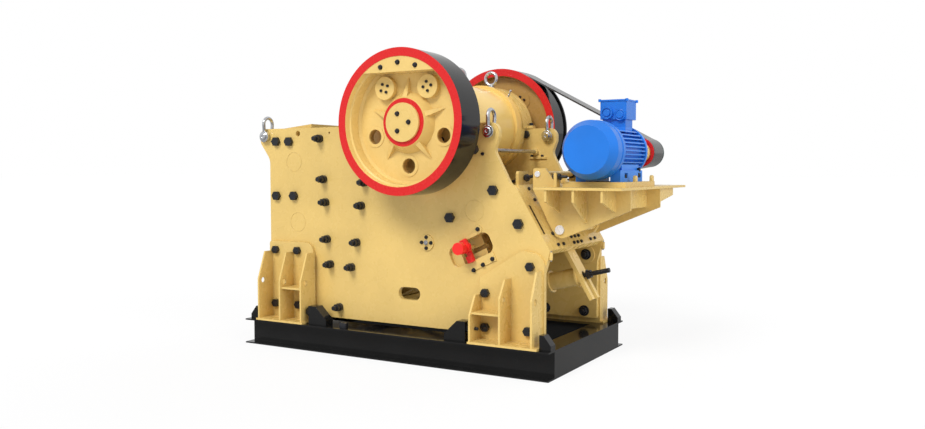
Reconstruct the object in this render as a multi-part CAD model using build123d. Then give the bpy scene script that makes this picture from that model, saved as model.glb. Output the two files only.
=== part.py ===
"""Single-toggle jaw crusher on its base frame, with motor, belt drive and wedge adjustment.

Millimetres. X runs from the feed end to the motor, Y across the machine, Z up.
The origin is the middle of the underside of the base frame.
"""
import os
from math import asin, atan2, cos, degrees, hypot, pi, radians, sin, tan

from build123d import *

os.makedirs("parts", exist_ok=True)

# Base frame
base_length = 3914
base_width = 2091
base_height = 288
flange_overhang = 144
flange_plate = 15
web_plate = 20
beam_depth = 285
end_flange = 240

# Side plates
side_outer = 750
side_plate = 60
side_top = 2528
side_bottom = 350
side_front = -1813
lug_hole_radius = 30
lug_drop = 92
lug_reach = 145
shackle_rise = 150
shackle_bow = 73
shackle_eye = 52
slit_wide = 42
front_lug_x = -1868
rear_lug_x = 1155

# Crushing chamber
fixed_top_x = -1165
fixed_bottom_x = -885
swing_top_x = -250
swing_bottom_x = -675
chamber_bottom = 440
jaw_plate_thick = 95
tooth_height = 24
tooth_count = 11
cheek_thick = 75
cheek_gap = 4
cheek_lap = 70
wall_thick = 110
wall_rib = 50

# Shaft and wheels
shaft_x = 386
shaft_radius = 130
wheel_radius = 750
wheel_inner = 918
wheel_width = 370
rim_thick = 89
web_face = 210
web_thick = 70
hub_radius = 248
hub_face = 105
hub_cover_radius = 200
hub_cover = 26
segment_chord = 505
segment_inset = 4
hole_circle = 445
hole_radius = 78
boss_radius = 113
boss_height = 6
cover_radius = 120
cover_height = 62
rib_reach = 230
rib_root = 32
rib_tip = 7
wheel_spokes = 5

# Bearings and swing jaw
housing_radius = 500
saddle_radius = 485
cap_ear = 575
cap_ear_high = 34
bearing_gap = 35
bearing_outer = 850
barrel_radius = 470
barrel_ring = 505
pitman_half = 525
jaw_half = 600
fit = 0.05
run_gap = 0.3
edge_share = 0.65

# Rear wall and wedge gear
slope_top = (1410, 1955)
slope_low = (1832, 1244)
toggle_angle = 25
window_center = (934, 1210)
window_long = 522
window_high = 226
window_corner = 75
rail_pad = 12
toggle_thick = 90
toggle_half = 480
toggle_length = 987
toggle_play = 13
seat_u = -306
seat_v = -30
holder_back = -139
wedge_split = 75
wedge_back = 325
wedge_slope = 0.06
wedge_end = 625
wedge_thin_end = 430
wedge_stroke = 50
guide_low = -165
guide_high = 112
guide_thick = 45
cylinder_u = -20
far_cylinder_u = 185
cylinder_v = 38
cylinder_radius = 50
cylinder_cap = 64
cylinder_flange = 60
cylinder_long = 185
crossbar = 28
piston_radius = 18
screw_radius = 18

# Motor and drive
motor_x = 2186
motor_z = 2238
motor_height = 315
cowl_radius = 294
cowl_face_radius = 237
cowl_front = -700
cowl_chamfer = 84
cowl_back = -385
stator_radius = 262
stator_back = 320
fin_root = 222
fin_pitch = 40
fin_thick = 13
fin_count = 11
foot_out = 236
foot_near = -382
foot_far = 290
terminal_y = (45, 343)
pulley_radius = 165
belt_count = 8
belt_pitch = 40
belt_width = 30
belt_thick = 18
belt_gap = 0.5

# Motor platform
platform_top = 1870
platform_plate = 25
platform_near = -840
platform_far = 1300
platform_left = 1695
platform_right = 2600
web_y = 482
web_sheet = 25
gusset_reach = 345
end_inset = 143
pivot_pin = (1822, 1434)
pivot_radius = 48
link_pin = (1570, 2000)
link_radius = 30
link_angle = 14.5

# Tie rod and tension rod
tie_x = 990
tie_z = 2255
tie_radius = 21
rod_angle = 14
rod_radius = 25
rod_pin = 22
rod_way = 42
hanger_plate = 42
hanger_half = 100
housing_long = 400
spring_radius = 97
spring_flange = 120
eye_radius = 74
eye_bar = 19
eye_neck = 19
eye_turn = 20
eye_foot_radius = 30
hanger_start = (1740, 1189)
hanger_long = 578
rod_overhang = 290

side_inner = side_outer - side_plate
bearing_inner = pitman_half + bearing_gap
shaft_z = side_top
lug_z = side_top - lug_drop
wheel_outer = wheel_inner + wheel_width


def prism(points, y0, y1, radius=0):
    """A closed outline in the X-Z plane, taken across the machine from y0 to y1."""
    pts = [(x, y0, z) for x, z in points]
    if radius:
        edge = FilletPolyline(*pts, radius=radius, close=True)
    else:
        edge = Polyline(*pts, close=True)
    return extrude(make_face(edge), amount=y1 - y0, dir=(0, 1, 0))


def fitting_radii(points, radii):
    """The corner radii of a closed outline, each no larger than its two edges have room for."""
    fitted = []
    for i, radius in enumerate(radii):
        before, corner, after = points[i - 1], points[i], points[(i + 1) % len(points)]
        run_in = (corner[0] - before[0], corner[1] - before[1])
        run_out = (after[0] - corner[0], after[1] - corner[1])
        cross = run_in[0] * run_out[1] - run_in[1] * run_out[0]
        dot = run_in[0] * run_out[0] + run_in[1] * run_out[1]
        half_turn = abs(atan2(cross, dot)) / 2
        room = edge_share * min(hypot(*run_in), hypot(*run_out))
        fitted.append(min(radius, room / tan(half_turn)) if half_turn > 0.001 else radius)
    return fitted


def disc(x, z, y0, y1, radius):
    """A round bar or disc with its axis across the machine."""
    low, high = min(y0, y1), max(y0, y1)
    plane = Plane(origin=(x, low, z), x_dir=(1, 0, 0), z_dir=(0, 1, 0))
    return extrude(plane * Circle(radius), amount=high - low)


def block(x0, x1, y0, y1, z0, z1):
    """A rectangular block between two corners."""
    size = (x1 - x0, y1 - y0, z1 - z0)
    return Pos((x0 + x1) / 2, (y0 + y1) / 2, (z0 + z1) / 2) * Box(*size)


def hexagon(x, z, y0, y1, flats):
    """A six-sided bolt head or nut standing off a side plate."""
    low, high = min(y0, y1), max(y0, y1)
    plane = Plane(origin=(x, low, z), x_dir=(1, 0, 0), z_dir=(0, 1, 0))
    return extrude(plane * RegularPolygon(flats / 3 ** 0.5, 6), amount=high - low)


def turned(points, x, z):
    """A profile of (radius, y) points turned about an axis across the machine."""
    face = make_face(Polyline(*[(x + r, y, z) for r, y in points], close=True))
    return revolve(face, axis=Axis((x, 0, z), (0, 1, 0)))


def both_sides(shape):
    """The shape and its mirror image on the far side."""
    return [shape, mirror(shape, about=Plane.XZ)]


def along(start, direction, distance):
    """The point at a distance from a start along a direction in degrees."""
    a = radians(direction)
    return (start[0] + distance * cos(a), start[1] + distance * sin(a))


def fixed_x(z):
    """The face of the fixed jaw plate at a height."""
    t = (z - chamber_bottom) / (side_top - chamber_bottom)
    return fixed_bottom_x + t * (fixed_top_x - fixed_bottom_x)


def swing_x(z):
    """The face of the swing jaw plate at a height."""
    t = (z - chamber_bottom) / (side_top - chamber_bottom)
    return swing_bottom_x + t * (swing_top_x - swing_bottom_x)


def fixed_back(z):
    """The plane behind the fixed jaw plate."""
    lean = atan2(fixed_top_x - fixed_bottom_x, side_top - chamber_bottom)
    return fixed_x(z) - jaw_plate_thick / cos(lean)


def swing_back(z):
    """The plane behind the swing jaw plate."""
    lean = atan2(swing_top_x - swing_bottom_x, side_top - chamber_bottom)
    return swing_x(z) + jaw_plate_thick / cos(lean)


def slope_x(z):
    """The rear wall's outer face at a height."""
    t = (z - slope_low[1]) / (slope_top[1] - slope_low[1])
    return slope_low[0] + t * (slope_top[0] - slope_low[0])


parts = {}

# Base frame: two boxed side beams with outward flanges, and an end beam at each end
half_length = base_length / 2
half_width = base_width / 2
beam_outer = half_width - flange_overhang
beam_inner = beam_outer - beam_depth
web_low = flange_plate
web_high = base_height - flange_plate
side_beam = block(-half_length, half_length, beam_inner, half_width, 0, flange_plate)
side_beam += block(-half_length, half_length, beam_inner, half_width, web_high, base_height)
for y in (beam_outer - web_plate, beam_inner):
    side_beam += block(-half_length, half_length, y, y + web_plate, web_low, web_high)
for x in (-half_length, half_length - web_plate):
    side_beam += block(x, x + web_plate, beam_inner, beam_outer, web_low, web_high)
parts["side_beams"] = both_sides(side_beam)

ends = []
for sign in (-1, 1):
    x0, x1 = sorted((sign * half_length, sign * (half_length - end_flange)))
    w0, w1 = sorted((sign * half_length, sign * (half_length - web_plate)))
    beam = block(x0, x1, -beam_inner, beam_inner, web_high, base_height)
    beam += block(x0, x1, -beam_inner, beam_inner, 0, flange_plate)
    beam += block(w0, w1, -beam_inner, beam_inner, web_low, web_high)
    ends.append(beam)
parts["end_beams"] = ends

# Side plates: one outline with lugs, bearing saddle and windows
lug_end = side_front - lug_reach
rear_end = slope_low[0] - 62
plate_line = [
    (side_front, side_bottom), (side_front, side_top - 363), (lug_end, side_top - 168), (lug_end, side_top),
    (rear_lug_x + 105, side_top), (rear_lug_x + 105, side_top - 153), (rear_lug_x + 53, side_top - 288),
    (slope_top[0] - 22, slope_top[1] - 50), (slope_top[0] + 60, slope_top[1] - 105),
    (slope_top[0] + 150, slope_top[1] - 255), slope_low,
    (slope_low[0] - 20, slope_low[1] - 94), (rear_end, slope_low[1] - 244), (rear_end, side_bottom),
]
corner_radii = [20, 160, 60, 80, 95, 40, 110, 60, 60, 200, 30, 60, 60, 20]
outline = [(x, side_inner, z) for x, z in plate_line]
corner_radii = fitting_radii(plate_line, corner_radii)
plate = make_face(FilletPolyline(*outline, radius=corner_radii, close=True))
plate = extrude(plate, amount=side_plate, dir=(0, 1, 0))
reach = side_plate + 20
plate -= disc(shaft_x, shaft_z, side_inner - 10, side_outer + 10, saddle_radius)
for x in (front_lug_x, rear_lug_x):
    plate -= disc(x, lug_z, side_inner - 10, side_outer + 10, lug_hole_radius)
window = Pos(window_center[0], side_outer - side_plate / 2, window_center[1])
window = window * Rot(0, -toggle_angle, 0) * Rot(90, 0, 0)
window = window * extrude(RectangleRounded(window_long, window_high, window_corner), amount=reach, both=True)
plate -= window
slot_half = 141
slot_high = 68
slot = Pos(167, side_outer - side_plate / 2, 698) * Rot(90, 0, 0)
slot = slot * extrude(SlotOverall(2 * slot_half, 2 * slot_high), amount=reach, both=True)
plate -= slot
plate -= disc(-1382, 2464, side_inner - 10, side_outer + 10, 32)
plate -= disc(-919, 2465, side_inner - 10, side_outer + 10, 12)

# Front wall: slanted jaw support with level ribs and a front flange
wall_top = side_top
support = [
    (fixed_back(chamber_bottom) - wall_thick, chamber_bottom), (fixed_back(chamber_bottom), chamber_bottom),
    (fixed_back(wall_top), wall_top), (fixed_back(wall_top) - wall_thick, wall_top),
]
wall = prism(support, -side_inner, side_inner)
rib_count = 6
rib_span = (wall_top - 60) - (chamber_bottom + 20)
for i in range(rib_count):
    z = chamber_bottom + 20 + i * rib_span / (rib_count - 1)
    rear = fixed_back(z) - wall_thick / 2
    front = side_front + 15
    if i == 0:
        front = side_front + 260
    wall += block(front, rear, -side_inner, side_inner, z - wall_rib / 2, z + wall_rib / 2)
for y in (-side_inner / 3, side_inner / 3):
    stiff = [
        (side_front + 150, chamber_bottom + 250), (fixed_x(chamber_bottom) - 150, chamber_bottom + 250),
        (fixed_x(wall_top) - 150, wall_top - 60), (side_front + 60, wall_top - 60),
    ]
    wall += prism(stiff, y - wall_rib / 2, y + wall_rib / 2)
for sign in (-1, 1):
    y0, y1 = sorted((sign * side_inner, sign * (side_inner - 60)))
    cheek = [
        (side_front + 15, chamber_bottom + 20), (fixed_x(chamber_bottom) - 150, chamber_bottom + 20),
        (fixed_x(wall_top) - 150, wall_top - 60), (side_front + 15, wall_top - 60),
    ]
    wall += prism(cheek, y0, y1)
cap_front, cap_rear = side_front + 123, fixed_back(side_top) + 33
cap_line = [
    (cap_front, side_top - 58), (cap_front, side_top - 2),
    (cap_rear, side_top + 47), (cap_rear, side_top + cheek_gap),
    (fixed_back(side_top) - 1, side_top + cheek_gap), (fixed_back(side_top - 58) - 1, side_top - 58),
]
wall += prism(cap_line, -side_inner, side_inner)
parts["front_wall"] = [wall]

# Jaw plates: vertical ridges on a flat back
def jaw_plate(face_low, face_high, back, half):
    """A ridged jaw plate between two face points; back gives the side of its rear face."""
    run = (face_high[0] - face_low[0], face_high[1] - face_low[1])
    pitch = 2 * half / tooth_count
    pts = [(back * jaw_plate_thick, -half), (back * tooth_height, -half)]
    for i in range(tooth_count):
        y = -half + i * pitch
        pts.append((0, y + pitch * 0.35))
        pts.append((0, y + pitch * 0.65))
        pts.append((back * tooth_height, y + pitch))
    pts.append((back * jaw_plate_thick, half))
    tilt = degrees(atan2(run[0], run[1]))
    face = make_face(Polyline(*[(x, y, 0) for x, y in pts], close=True))
    body = extrude(face, amount=hypot(*run), dir=(0, 0, 1))
    return Pos(face_low[0], 0, face_low[1]) * Rot(0, tilt, 0) * body


jaw_low = chamber_bottom + 25
swing_top = side_top - 60
fixed_half = side_inner - 5
fixed_ends = ((fixed_x(jaw_low), jaw_low), (fixed_x(side_top), side_top))
parts["fixed_jaw_plate"] = [jaw_plate(*fixed_ends, -1, fixed_half)]

# Cheek plates between the jaws, an upper and a lower one on each side
cheek_low = chamber_bottom + 20
cheek_mid = 1330
cheeks = []
for z0, z1 in ((cheek_low, cheek_mid - cheek_gap), (cheek_mid, side_top - 20)):
    pts = [
        (fixed_x(z0) + cheek_gap, z0), (swing_x(z0) + cheek_lap, z0),
        (swing_x(z1) + cheek_lap, z1), (fixed_x(z1) + cheek_gap, z1),
    ]
    cheeks += both_sides(prism(pts, side_inner - cheek_thick, side_inner))
parts["cheek_plates"] = cheeks

# Wedge gear frame: distances along the toggle line and square to it
def gear(u, v):
    """A point in the X-Z plane, measured from the middle of the wedge window."""
    a = radians(toggle_angle)
    x = window_center[0] + u * cos(a) - v * sin(a)
    return (x, window_center[1] + u * sin(a) + v * cos(a))


def gear_block(u0, u1, v0, v1, y0, y1):
    """A block square to the toggle line, across the machine from y0 to y1."""
    return prism([gear(u0, v0), gear(u1, v0), gear(u1, v1), gear(u0, v1)], y0, y1)


def gear_slab(points, v0, v1):
    """A slab with an outline of (u, y) points between two heights square to the toggle line."""
    a = radians(toggle_angle)
    x, z = gear(0, v0)
    plane = Plane(origin=(x, 0, z), x_dir=(cos(a), 0, sin(a)), z_dir=(-sin(a), 0, cos(a)))
    return extrude(plane * make_face(Polyline(*points, close=True)), amount=v1 - v0)


# Rear wall: the beam between the side plates with the two guides that hold the wedges
lug_x0, lug_x1 = slope_top[0] - 60, slope_top[0] - 25
wall_crest = slope_top[1] - 65
beam_line = [
    (625, 1462), (625, 1600), (lug_x0 - 230, slope_top[1] - 120), (lug_x0, slope_top[1] - 105),
    (lug_x0, wall_crest), (slope_x(wall_crest), wall_crest), slope_low, (1760, 1190),
    gear(wedge_back, guide_low - guide_thick), gear(wedge_back, guide_high + guide_thick + 20),
]
rear = prism(beam_line, -side_inner, side_inner)
rear += gear_block(seat_u + 20, wedge_back, guide_low - guide_thick, guide_low, -side_inner, side_inner)
rear += gear_block(seat_u + 40, wedge_back, guide_high, guide_high + guide_thick, -side_inner, side_inner)
link_y = web_y - web_sheet - 42


def link_place(y, distance):
    """A plane across a link screw at a distance before the upper pin."""
    a = radians(link_angle)
    origin = (link_pin[0] - distance * cos(a), y, link_pin[1] - distance * sin(a))
    return Plane(origin=origin, z_dir=(cos(a), 0, sin(a)))


slit = [
    (slope_x(1690) - 70, 1690), (slope_x(1690) + 20, 1690),
    (slope_x(1400) + 20, 1400), (slope_x(1400) - 70, 1400),
]
for sign in (-1, 1):
    ear_low, ear_high = sorted((sign * (web_y - web_sheet - 2), sign * (web_y - web_sheet - 82)))
    ear = [
        (slope_x(1545) - 30, 1545), (slope_x(1330) - 30, 1330), (pivot_pin[0] + 30, pivot_pin[1] - 74),
        (pivot_pin[0] + 70, pivot_pin[1]), (pivot_pin[0] + 20, pivot_pin[1] + 71),
    ]
    rear += prism(ear, ear_low, ear_high)
    lug = [(lug_x0, sign * y, z) for y, z in
           ((link_y - 130, wall_crest - 30), (link_y + 130, wall_crest - 30),
            (link_y + 130, slope_top[1] + 75), (link_y - 130, slope_top[1] + 75))]
    lug = make_face(FilletPolyline(*lug, radius=[0, 0, 35, 35], close=True))
    lug = extrude(lug, amount=lug_x1 - lug_x0, dir=(1, 0, 0))
    rear += lug - extrude(link_place(sign * link_y, 300) * Circle(screw_radius + fit), amount=200)
    y0, y1 = sorted((sign * side_inner, sign * (side_inner - slit_wide)))
    rear -= prism(slit, y0, y1)
rear -= disc(pivot_pin[0], pivot_pin[1], -web_y, web_y, pivot_radius + fit)
parts["rear_wall"] = [rear]

# Bearing housings: a saddle block on each side plate with a round cap
housing = disc(shaft_x, shaft_z, bearing_inner, bearing_outer, saddle_radius - run_gap)
cap = disc(shaft_x, shaft_z, bearing_inner + 25, bearing_outer - 25, housing_radius)
ear_half = side_plate / 2 + 8
ear_mid = side_outer - side_plate / 2
ear_top = side_top + cap_ear_high
cap += block(shaft_x - cap_ear, shaft_x + cap_ear, ear_mid - ear_half, ear_mid + ear_half, side_top, ear_top)
cap -= block(shaft_x - 700, shaft_x + 700, 0, 1000, 1500, side_top)
housing += cap
housing -= disc(shaft_x, shaft_z, bearing_inner - 10, bearing_outer + 10, shaft_radius + fit)
eye_foot = shaft_z + housing_radius - 4
housing -= Pos(shaft_x, ear_mid, eye_foot + 50) * Cylinder(eye_foot_radius + 10, 100)
parts["bearing_housings"] = both_sides(housing)

# Eyebolts on the bearing caps
eye_middle = eye_foot + eye_neck + eye_bar + eye_radius
eye = Pos(shaft_x, ear_mid, eye_middle) * Rot(90, 0, eye_turn) * Torus(eye_radius, eye_bar)
eye += Pos(shaft_x, ear_mid, eye_foot + 8) * Cylinder(eye_foot_radius, 16)
eye += Pos(shaft_x, ear_mid, eye_foot + 24) * Cone(eye_foot_radius - 8, eye_bar, 16)
parts["eyebolts"] = both_sides(eye)

# Tie rod across the frame
rod = disc(tie_x, tie_z, -side_outer - 30, side_outer + 30, tie_radius)
for sign in (-1, 1):
    rod += hexagon(tie_x, tie_z, sign * side_outer, sign * (side_outer + 45), 80)
rail = gear_block(-80, 240, -window_high / 2 - 100, -window_high / 2, side_outer, side_outer + rail_pad)
rail += gear_block(-70, 150, window_high / 2, window_high / 2 + 35, side_outer, side_outer + rail_pad)
plate += rail + disc(*gear(174, window_high / 2 + 48), side_outer, side_outer + rail_pad, 45)
plate += gear_block(-134, -122, -window_high / 2 - 5, window_high / 2 + 5, side_inner + 15, side_outer)
plate += disc(tie_x, tie_z, side_inner - 30, side_inner, 2 * tie_radius)
plate += block(tie_x - 75, tie_x + 150, side_inner - 20, side_inner, tie_z - 84, tie_z - 60)
plate -= disc(tie_x, tie_z, side_inner - 40, side_outer + 10, tie_radius + fit)
pocket_high = window_high / 2 + 12
plate += gear_block(-window_long / 2 - 12, -122, -pocket_high, pocket_high, side_inner, side_inner + 14)
cover = disc(395, 1265, side_outer, side_outer + 14, 88)
parts["side_plates"] = both_sides(plate + cover)
parts["tie_rod"] = [rod]

# Shackles in the four lifting lugs
bow = 20
shackle_half = side_plate / 2 + 12 + bow
shackles = []
for x in (front_lug_x, rear_lug_x):
    y = side_outer - side_plate / 2
    pin = disc(x, lug_z, y - shackle_half - 34, y + shackle_half + 34, lug_hole_radius - fit)
    legs = Plane(origin=(x, y, lug_z), x_dir=(0, 1, 0), z_dir=(1, 0, 0))
    lean = degrees(atan2(shackle_rise, shackle_half) + asin(shackle_bow / hypot(shackle_rise, shackle_half)))
    leg = (hypot(shackle_rise, shackle_half) ** 2 - shackle_bow ** 2) ** 0.5
    left = along((-shackle_half, 0), lean, leg)
    path = Line((-shackle_half, 0), left)
    path += ThreePointArc(left, (0, shackle_rise + shackle_bow), (-left[0], left[1]))
    path += Line((-left[0], left[1]), (shackle_half, 0))
    path = legs * path
    ring = Plane(origin=path @ 0, z_dir=path % 0) * Circle(bow)
    piece = sweep(ring, path=path)
    for side in (-1, 1):
        piece += disc(x, lug_z, y + side * (shackle_half - bow), y + side * (shackle_half + bow), shackle_eye)
    shackles += both_sides(piece + pin)
parts["lifting_shackles"] = shackles

# Feet: base plate, backing plate and three holed gussets each
foot_plate = 22
backing = 37
gusset_plate = 22
gusset_knee = 460


def foot(x0, x1, outline, gussets, shelf_at, shelf_z):
    """One foot on the +Y side, bolted to the side plate and resting on the base frame."""
    top = base_height + foot_plate
    piece = block(x0, x1, side_outer, half_width, base_height, top)
    piece += outline
    for x, knee, high in gussets:
        pts = [
            (side_outer + backing, top), (half_width - 15, top), (half_width - 15, top + knee),
            (half_width - 130, top + high), (side_outer + backing, top + high),
        ]
        face = make_face(Polyline(*[(x - gusset_plate / 2, y, z) for y, z in pts], close=True))
        web = extrude(face, amount=gusset_plate, dir=(1, 0, 0))
        if knee == gusset_knee:
            hole = Plane(origin=(x - 20, half_width - 90, top + knee - 20), z_dir=(1, 0, 0)) * Circle(33)
            web -= extrude(hole, amount=40)
        piece += web
    shelf_top = shelf_z + gusset_plate
    piece += block(shelf_at[0], shelf_at[1], side_outer + backing, half_width - 40, shelf_z, shelf_top)
    return piece


foot_low = base_height + foot_plate
front_left, front_right = side_front + 13, side_front + 673
front_line = [
    (front_left, foot_low), (front_right, foot_low),
    (front_right, foot_low + 888), (front_left, foot_low + 888),
]
front_back = [(x, side_outer, z) for x, z in front_line]
front_back = make_face(FilletPolyline(*front_back, radius=[0, 0, 110, 30], close=True))
front_back = extrude(front_back, amount=backing, dir=(0, 1, 0))
front_webs = [(front_left + step, gusset_knee, 775) for step in (38, 359, 670)]
front_shelf = (front_left + 370, front_right - 1)
front_foot = foot(front_left + 10, front_right + 40, front_back, front_webs, front_shelf, 670)
parts["front_feet"] = both_sides(front_foot)

rear_left, rear_right = rear_end - 710, rear_end + 20
rear_line = [
    (rear_left, foot_low), (rear_right, foot_low), (rear_right, foot_low + 890),
    (rear_right - 250, foot_low + 925), (rear_left, foot_low + 625),
]
rear_back = [(x, side_outer, z) for x, z in rear_line]
rear_back = make_face(FilletPolyline(*rear_back, radius=[0, 0, 140, 120, 40], close=True))
rear_back = extrude(rear_back, amount=backing, dir=(0, 1, 0))
rear_webs = [
    (rear_left + 12, 260, 460), (rear_left + 352, gusset_knee, 640), (rear_left + 702, gusset_knee, 735),
]
rear_shelf = (rear_left + 21, rear_left + 341)
rear_foot = foot(rear_left - 5, rear_right + 39, rear_back, rear_webs, rear_shelf, 585)
parts["rear_feet"] = both_sides(rear_foot)

# Stops on the base frame beside the feet
def stop(face_x, away, flat, slope, low, high, deep):
    """A chamfered block whose upright face stands by a foot; away is the way that it slopes."""
    y1 = half_width - 55
    pts = [
        (face_x, base_height), (face_x, base_height + high), (face_x + away * flat, base_height + high),
        (face_x + away * (flat + slope), base_height + low), (face_x + away * (flat + slope), base_height),
    ]
    return prism(pts, y1 - deep, y1)


stops = []
side_stop_high = 212
side_stop_low = 72
jack_gap = 53
for face_x, away in ((front_right + 40 + jack_gap, 1), (rear_left - 5 - jack_gap, -1)):
    stops += both_sides(stop(face_x, away, 100, 150, side_stop_low, side_stop_high, 125)
                        + Plane(origin=(face_x, half_width - 115, base_height + 140), z_dir=(-away, 0, 0))
                        * extrude(RegularPolygon(50, 6), amount=jack_gap - 3))
for face_x, away in ((rear_right + 42, 1), (front_left + 7, -1)):
    stops += both_sides(stop(face_x, away, 45, 78, 55, 152, 110))
parts["base_stops"] = stops

# Frame bolts and cheek studs
flats = 98
foot_flats = 84
head = 42
bolts = []
plate_bolts = (
    (-1705, 2376), (-1508, 2372), (-1706, 1735), (-1441, 1738), (689, 1541), (1490, 1499), (1201, 1834),
)
foot_bolts = (
    (front_left + 105, 1098), (front_left + 435, 1100), (front_left + 100, 461), (front_left + 446, 464),
    (rear_left + 73, 780), (rear_left + 580, 1078), (rear_left + 73, 425), (rear_left + 558, 427),
)
for x, z in plate_bolts:
    bolts += both_sides(hexagon(x, z, side_outer, side_outer + head, flats))
for x, z in foot_bolts:
    bolts += both_sides(hexagon(x, z, side_outer + backing, side_outer + backing + head, foot_flats))
parts["frame_bolts"] = bolts

studs = []
front_rows = ((96, 2399), (88, 1934), (82, 1671), (43, 1249), (49, 962), (111, 477))
rear_rows = ((-43, 1902), (-35, 1643), (-16, 1228), (-33, 945))
stud_places = [(fixed_x(z) + step, z) for step, z in front_rows]
stud_places += [(swing_x(z) + step, z) for step, z in rear_rows]
for x, z in stud_places:
    stud = disc(x, z, side_outer, side_outer + 45, 46)
    stud += hexagon(x, z, side_outer + 45, side_outer + 88, 74)
    stud += disc(x, z, side_outer + 88, side_outer + 128, 26)
    studs += both_sides(stud)
parts["cheek_studs"] = studs

# Swing jaw: barrel with end rings, ribbed body, toggle recess and rod ears
toggle_rear = gear(seat_u, seat_v)
toggle_front = gear(seat_u - toggle_length, seat_v)
seat_high = gear(seat_u - toggle_length, seat_v + 105)
seat_low = gear(seat_u - toggle_length, seat_v - 105)
body_line = [
    (swing_back(chamber_bottom), chamber_bottom), (swing_back(swing_top), swing_top),
    (shaft_x - 150, shaft_z + barrel_radius - 160), (shaft_x + barrel_radius - 60, shaft_z - 60),
    (shaft_x + 230, shaft_z - 390), (70, 1180), (seat_high[0] + 25, seat_high[1] + 110), seat_high, seat_low,
    (seat_low[0] - 60, chamber_bottom),
]
pitman = prism(body_line, -pitman_half, pitman_half)
pocket_low, pocket_high = seat_high[1] + 150, shaft_z - barrel_radius - 90
pocket = [
    (swing_back(pocket_low) + 90, pocket_low), (swing_back(pocket_high) + 90, pocket_high),
    (shaft_x + 500, pocket_high), (shaft_x + 500, pocket_low),
]
rib_at = (-pitman_half + 50, -170, 170, pitman_half - 50)
for y0, y1 in zip(rib_at, rib_at[1:]):
    pitman -= prism(pocket, y0 + 30, y1 - 30)
pitman += disc(shaft_x, shaft_z, -pitman_half, pitman_half, barrel_radius)
for y0, y1 in ((-pitman_half, -pitman_half + 110), (pitman_half - 110, pitman_half)):
    pitman += disc(shaft_x, shaft_z, y0, y1, barrel_ring)
pitman -= disc(shaft_x, shaft_z, -pitman_half - 10, pitman_half + 10, shaft_radius + fit)
recess = toggle_thick / 2 + toggle_play
pitman -= disc(*toggle_front, -pitman_half - 10, pitman_half + 10, recess)
rod_start = (-330, 372)
ear_line = [
    (rod_start[0] - 75, chamber_bottom + 30), (rod_start[0] + 75, chamber_bottom + 30),
    (rod_start[0] + 50, 330), (rod_start[0] - 50, 330),
]
for y0, y1 in ((-75, -38), (38, 75)):
    pitman += prism(ear_line, y0, y1, radius=12)
pitman -= disc(*rod_start, -80, 80, rod_pin + fit)
parts["pitman"] = [pitman]
swing_ends = ((swing_x(jaw_low), jaw_low), (swing_x(swing_top), swing_top))
parts["swing_jaw_plate"] = [jaw_plate(*swing_ends, 1, jaw_half)]

# Eccentric shaft and wheels
shaft_half = wheel_outer - hub_face
parts["eccentric_shaft"] = [disc(shaft_x, shaft_z, -shaft_half, shaft_half, shaft_radius)]


def wheel_disc(rim_radius):
    """Rim, dished web and hub turned as one, for the +Y side."""
    rim_in = wheel_radius - rim_thick
    web_out = wheel_outer - web_face
    web_in = web_out - web_thick
    pts = [
        (shaft_radius + fit, wheel_inner + 5), (hub_radius, wheel_inner + 5), (hub_radius + 30, web_in),
        (rim_in - 12, web_in), (rim_in, wheel_inner), (rim_radius, wheel_inner), (rim_radius, wheel_outer),
        (rim_in, wheel_outer), (rim_in - 8, wheel_outer - 60), (rim_in - 24, wheel_outer - 72),
        (rim_in - 30, web_out + 24), (rim_in - 56, web_out), (hub_radius + 70, web_out),
        (hub_radius, wheel_outer - hub_face), (shaft_radius + fit, wheel_outer - hub_face),
    ]
    return turned(pts, shaft_x, shaft_z)


def wheel_fittings(body):
    """Through holes with raised bosses, ribs and covers on a wheel's web."""
    web_out = wheel_outer - web_face
    web_in = web_out - web_thick
    for i in range(wheel_spokes):
        a = radians(54 + i * 360 / wheel_spokes)
        x, z = shaft_x + hole_circle * cos(a), shaft_z + hole_circle * sin(a)
        if i in (0, 1):
            body += disc(x, z, web_in - boss_height, web_out + cover_height, cover_radius)
        else:
            body += disc(x, z, web_in - boss_height, web_out + boss_height, boss_radius)
            body -= disc(x, z, web_in - 40, web_out + 40, hole_radius)
    for i in range(wheel_spokes):
        a = 90 + i * 360 / wheel_spokes
        r0, r1, y0 = hub_radius - 10, hub_radius + rib_reach, web_out - 5
        pts = [(r0, y0), (r0, wheel_outer - hub_face - 12), (r1, y0)]
        face = make_face(Polyline(*[(r, y, -rib_root) for r, y in pts], close=True))
        rib = extrude(face, amount=2 * rib_root, dir=(0, 0, 1))
        pts = [(r0, -rib_root), (r1, -rib_tip), (r1, rib_tip), (r0, rib_root)]
        face = make_face(Polyline(*[(r, y0, z) for r, z in pts], close=True))
        rib &= extrude(face, amount=web_face, dir=(0, 1, 0))
        body += Pos(shaft_x, 0, shaft_z) * Rot(0, -a, 0) * rib
    seg = disc(shaft_x, shaft_z, web_in + 5, wheel_outer - segment_inset, wheel_radius - rim_thick / 2)
    body += seg & block(shaft_x - 800, shaft_x + 800, 0, 2000, shaft_z + segment_chord, shaft_z + 900)
    return body


near_wheel = mirror(wheel_fittings(wheel_disc(wheel_radius)), about=Plane.XZ)
parts["flywheel"] = [near_wheel]
groove_floor = wheel_radius - belt_thick - belt_gap
belt_span = (belt_count - 1) * belt_pitch
belt_mid = wheel_inner + wheel_width / 2
drive = wheel_fittings(wheel_disc(wheel_radius))
band_half = belt_span / 2 + belt_width / 2 + 4
trench = [
    (groove_floor, belt_mid - band_half), (wheel_radius + 20, belt_mid - band_half),
    (wheel_radius + 20, belt_mid + band_half), (groove_floor, belt_mid + band_half),
]
parts["drive_wheel"] = [drive - turned(trench, shaft_x, shaft_z)]

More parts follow.
